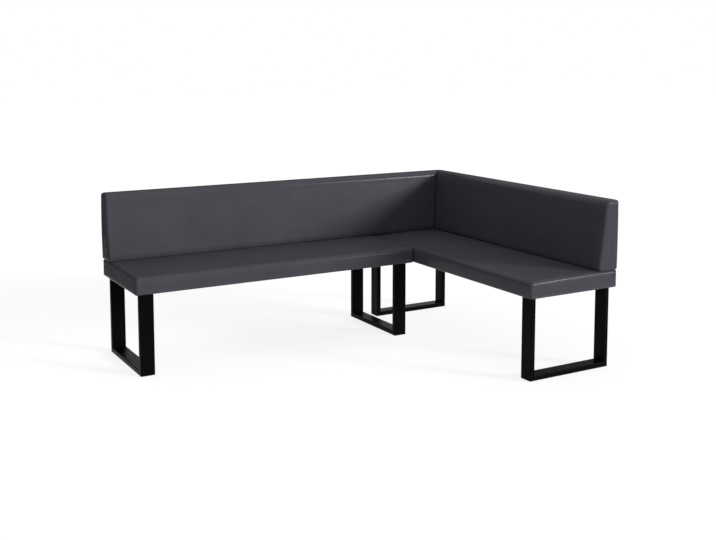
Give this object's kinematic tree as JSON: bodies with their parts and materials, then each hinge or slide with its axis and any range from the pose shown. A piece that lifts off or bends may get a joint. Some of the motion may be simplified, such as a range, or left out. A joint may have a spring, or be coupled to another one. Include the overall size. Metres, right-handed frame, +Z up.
{
  "type": "corner bench",
  "caption": "L-shaped upholstered dining corner bench with wedge backs mitred at the corner, flat pad seats and closed sled frames of flat black steel tube.",
  "frame": {"origin": "on the floor, at the centre of the outer plan", "axes": "+X along the long wing towards the corner, +Y towards the backs of the long wing, +Z up"},
  "size_m": [2.045, 1.485, 0.81],
  "materials": {
    "faux_leather": "smooth anthracite faux leather, satin",
    "foam": "open-cell upholstery foam",
    "plywood": "raw plywood",
    "timber": "planed softwood",
    "lining": "black non-woven lining",
    "black_steel": "black powder coat, satin",
    "zinc_steel": "zinc plated",
    "brass": "plain brass",
    "glide_plastic": "black moulded plastic"
  },
  "bodies": {
    "root": {"long_seat_cover": "faux_leather", "long_seat_foam": "foam", "long_seat_deck": "plywood", "long_seat_front_rail": "timber", "long_seat_rear_rail": "timber", "long_seat_cross_rails": "timber", "long_seat_lining": "lining", "long_back_cover": "faux_leather", "long_back_foam": "foam", "long_back_rear_panel": "plywood", "long_back_front_panel": "plywood", "long_back_bottom_rail": "timber", "long_back_top_rail": "timber", "long_back_ribs": "timber", "short_seat_cover": "faux_leather", "short_seat_foam": "foam", "short_seat_deck": "plywood", "short_seat_front_rail": "timber", "short_seat_rear_rail": "timber", "short_seat_cross_rails": "timber", "short_seat_lining": "lining", "short_back_cover": "faux_leather", "short_back_foam": "foam", "short_back_rear_panel": "plywood", "short_back_front_panel": "plywood", "short_back_bottom_rail": "timber", "short_back_top_rail": "timber", "short_back_ribs": "timber", "left_frame_front_leg": "black_steel", "left_frame_rear_leg": "black_steel", "left_frame_foot_bar": "black_steel", "left_frame_top_bar": "black_steel", "middle_frame_front_leg": "black_steel", "middle_frame_rear_leg": "black_steel", "middle_frame_foot_bar": "black_steel", "middle_frame_top_bar": "black_steel", "front_frame_front_leg": "black_steel", "front_frame_rear_leg": "black_steel", "front_frame_foot_bar": "black_steel", "front_frame_top_bar": "black_steel", "corner_frame_front_leg": "black_steel", "corner_frame_rear_leg": "black_steel", "corner_frame_foot_bar": "black_steel", "corner_frame_top_bar": "black_steel", "frame_bolts": "zinc_steel", "back_bolts": "zinc_steel", "joining_screws": "zinc_steel", "seat_joining_plates": "zinc_steel", "frame_inserts": "brass", "back_inserts": "brass", "glides": "glide_plastic"}
  },
  "joints": []
}
